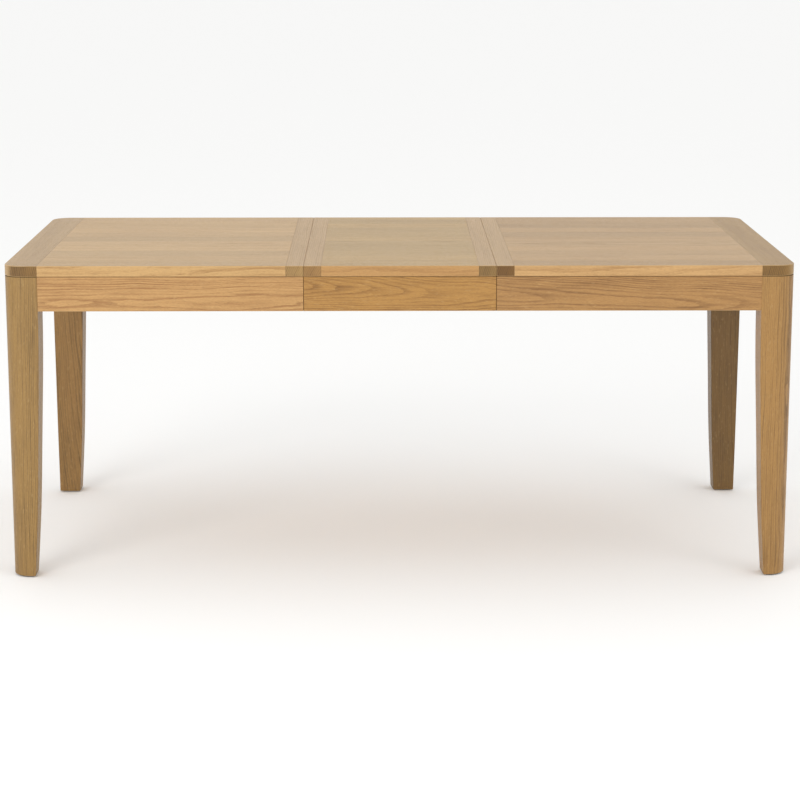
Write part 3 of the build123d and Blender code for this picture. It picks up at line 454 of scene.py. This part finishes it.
# ---- Glides and pads ----
# A nylon glide pinned under each foot and four pads under the leaf, injection moulded in black. The mould
# was spark eroded, so the skin has a fine even grit and is only half glossy.
nylon = bpy.data.materials.new("moulded_nylon")
nylon.use_nodes = True
tree = nylon.node_tree
tree.nodes.clear()
place = put(tree, "ShaderNodeTexCoord", {})
# The grit is 0.1 mm; it is drawn at 0.5 mm so that it shows. Scuffs are 6 mm long and 2.4 mm wide.
grit_at = put(tree, "ShaderNodeMapping", {
    "Vector": place.outputs["Object"], "Scale": (2000.0, 2000.0, 2000.0)}).outputs[0]
grit = put(tree, "ShaderNodeTexNoise", {"Vector": grit_at, "Scale": 1.0, "Detail": 1.0}).outputs[0]
scuff_at = put(tree, "ShaderNodeMapping", {
    "Vector": place.outputs["Object"], "Scale": (160.0, 420.0, 160.0)}).outputs[0]
scuff = put(tree, "ShaderNodeTexNoise", {"Vector": scuff_at, "Scale": 1.0, "Detail": 3.0}).outputs[0]
scuff = put(tree, "ShaderNodeMapRange", {
    0: scuff, 1: 0.5, 2: 0.72}, interpolation_type="SMOOTHSTEP").outputs[0]
nylon_shade = put(tree, "ShaderNodeMix", {
    0: scuff, 6: linear("#24211f"), 7: linear("#3b3733")}, data_type="RGBA").outputs[2]
nylon_dull = put(tree, "ShaderNodeMapRange", {0: scuff, 3: 0.42, 4: 0.60}).outputs[0]
nylon_relief = put(tree, "ShaderNodeBump", {"Height": grit, "Strength": 0.3, "Distance": 0.00005})
skin = put(tree, "ShaderNodeBsdfPrincipled", {
    "Base Color": nylon_shade, "Roughness": nylon_dull, "Normal": nylon_relief.outputs[0], "IOR": 1.53})
put(tree, "ShaderNodeOutputMaterial", {"Surface": skin.outputs[0]})
for name in ("left_foot_glides", "right_foot_glides", "leaf_pads"):
    dress(name, nylon)

# ---- The studio ----
# A wide white floor under an even white sky, a large soft light at the front left and a weaker one at the
# right. The floor is one-sided, so the underside can be looked at through it. The camera stands 5.8 m off,
# a little above the top, and looks down by 12 degrees.
floor_radius, rim_points = 90, 96
turns = np.linspace(0, 2 * np.pi, rim_points, endpoint=False)
# The floor is a disc: each point of its rim is its radius times the cosine and the sine of its angle.
rim = floor_radius * np.stack([np.cos(turns), np.sin(turns), np.zeros_like(turns)], 1)
floor_mesh = bpy.data.meshes.new("studio_floor")
floor_mesh.from_pydata(rim.tolist(), [], [tuple(range(rim_points))])
studio_floor = bpy.data.objects.new("studio_floor", floor_mesh)
bpy.context.scene.collection.objects.link(studio_floor)
paper = bpy.data.materials.new("matt_white_paper")
paper.use_nodes = True
tree = paper.node_tree
tree.nodes.clear()
fibre = put(tree, "ShaderNodeBsdfPrincipled", {
    "Base Color": linear("#fbfbfa"), "Roughness": 0.9, "Specular IOR Level": 0.1})
below = put(tree, "ShaderNodeNewGeometry", {}).outputs["Backfacing"]
clear = put(tree, "ShaderNodeBsdfTransparent", {})
paper_side = put(tree, "ShaderNodeMixShader", {0: below, 1: fibre.outputs[0], 2: clear.outputs[0]})
put(tree, "ShaderNodeOutputMaterial", {"Surface": paper_side.outputs[0]})
floor_mesh.materials.append(paper)

sky = bpy.data.worlds.new("studio_sky")
sky.use_nodes = True
sky.node_tree.nodes["Background"].inputs["Color"].default_value = linear("#ffffff")
sky.node_tree.nodes["Background"].inputs["Strength"].default_value = 0.97
bpy.context.scene.world = sky
bpy.context.scene.view_settings.view_transform = "Standard"

lit_point = Vector((0, 0, 0.6))
for name, spot, size, power in (
        ("key_light", (-3.2, -5.2, 2.9), 3.2, 120.0),
        ("fill_light", (4.4, -4.0, 2.4), 3.0, 35.0)):
    lamp = bpy.data.lights.new(name, "AREA")
    lamp.shape = "DISK"
    lamp.size = size
    lamp.energy = power
    light = bpy.data.objects.new(name, lamp)
    bpy.context.scene.collection.objects.link(light)
    light.location = spot
    light.rotation_euler = (lit_point - Vector(spot)).to_track_quat("-Z", "Y").to_euler()

lens = bpy.data.cameras.new("studio_camera")
lens.sensor_width = 36.0
lens.lens = 103.8
camera = bpy.data.objects.new("studio_camera", lens)
bpy.context.scene.collection.objects.link(camera)
camera.location = (-0.049, -5.766, 1.532)
aim = Vector((0.004, 0.0, 0.338))
camera.rotation_euler = (aim - camera.location).to_track_quat("-Z", "Y").to_euler()
bpy.context.scene.camera = camera
